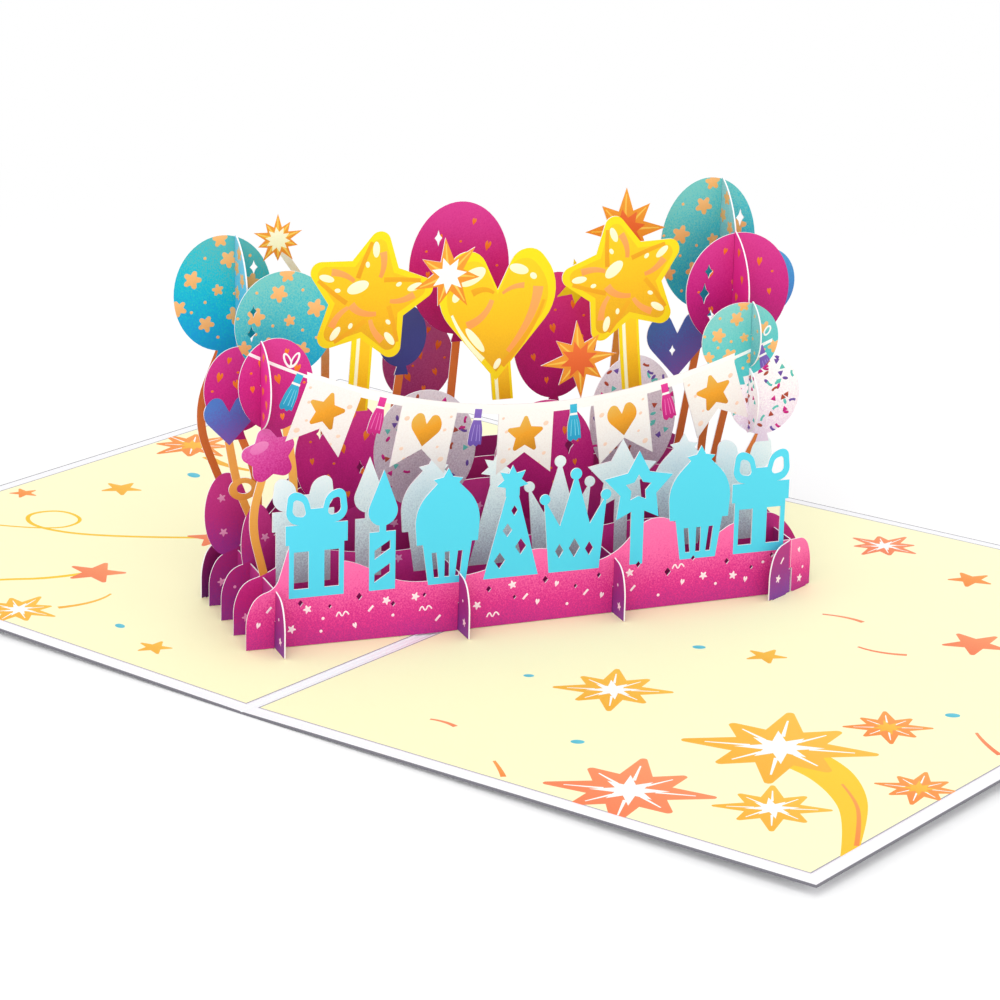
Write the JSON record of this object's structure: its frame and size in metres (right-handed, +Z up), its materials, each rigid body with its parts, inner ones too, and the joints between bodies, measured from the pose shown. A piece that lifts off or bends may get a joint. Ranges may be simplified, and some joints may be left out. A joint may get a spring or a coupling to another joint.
{
  "type": "pop up card",
  "caption": "Open greeting card with a folded cover, cream liners and a standing grid of die-cut balloons, banner and foil shapes that folds flat.",
  "frame": {"origin": "middle of the crease on the cover's underside, where the open card stands", "axes": "+X to the right across the open card, +Y along the crease away from the reader, +Z up"},
  "size_m": [0.254, 0.1778, 0.0832],
  "materials": {
    "cover_white": "uncoated white card",
    "liner_cream": "printed cream paper",
    "hill_pink": "printed card, pink",
    "echo_grey": "printed card, pale grey",
    "foil_gold": "printed card, gold and magenta",
    "balloon_teal": "printed card, teal and magenta",
    "slice_purple": "printed card, purple",
    "balloon_magenta": "printed card, magenta",
    "confetti_white": "printed card, white with confetti"
  },
  "bodies": {
    "root": {"cover": "cover_white", "left_liner": "liner_cream", "right_liner": "liner_cream", "front_row": "hill_pink", "echo_row": "echo_grey", "foil_row": "foil_gold", "balloon_row": "balloon_teal", "rear_row": "slice_purple", "cross_slice_1": "slice_purple", "cross_slice_2": "slice_purple", "cross_slice_3": "slice_purple", "cross_slice_4": "slice_purple", "left_teal_fin": "balloon_teal", "left_magenta_fin": "balloon_magenta", "top_teal_fin": "balloon_teal", "right_magenta_fin": "balloon_magenta", "small_teal_fin": "balloon_teal", "confetti_fin": "confetti_white"}
  },
  "joints": []
}
